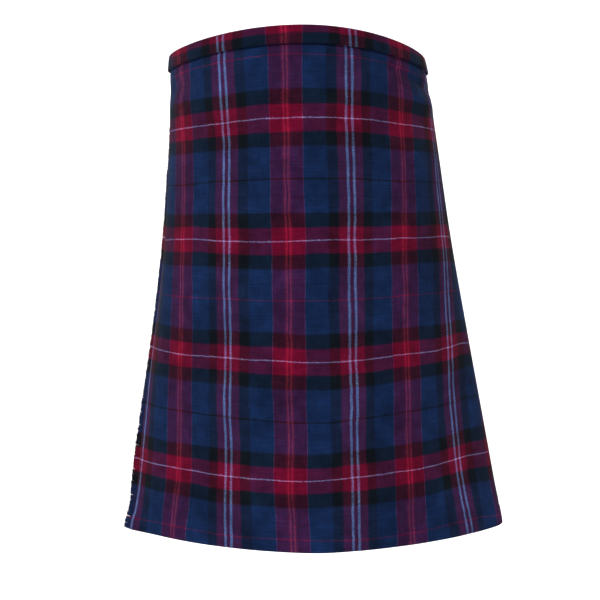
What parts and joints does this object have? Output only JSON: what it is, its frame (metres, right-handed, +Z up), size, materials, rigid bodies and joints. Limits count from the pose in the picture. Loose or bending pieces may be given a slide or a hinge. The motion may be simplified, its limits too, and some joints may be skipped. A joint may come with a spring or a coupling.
{
  "type": "scottish kilt",
  "caption": "Man's tartan kilt in its worn, hollow form: lapped front aprons with a fringed edge, knife-pleated back, folded waistband, waist straps and buckles.",
  "frame": {"origin": "middle of the waist, level with the straps, 40 mm below the top edge", "axes": "+Z up, the front apron faces -Y, +X is the wearer's left"},
  "size_m": [0.4727, 0.2975, 0.6115],
  "materials": {
    "tartan_cloth": "matte twill weave, checked in red, navy, black, pale blue and white",
    "strap_leather": "black, lightly polished",
    "buckle_steel": "plated, polished"
  },
  "bodies": {
    "root": {"over_apron": "tartan_cloth", "over_apron_fringe": "tartan_cloth", "pleated_back": "tartan_cloth", "under_apron": "tartan_cloth", "waistband_outer": "tartan_cloth", "waistband_under": "tartan_cloth", "left_strap": "strap_leather", "left_buckle_tab": "strap_leather", "left_keeper": "strap_leather", "left_buckle_frame": "buckle_steel", "left_buckle_prong": "buckle_steel", "right_strap": "strap_leather", "right_buckle_tab": "strap_leather", "right_keeper": "strap_leather", "right_buckle_frame": "buckle_steel", "right_buckle_prong": "buckle_steel"}
  },
  "joints": []
}
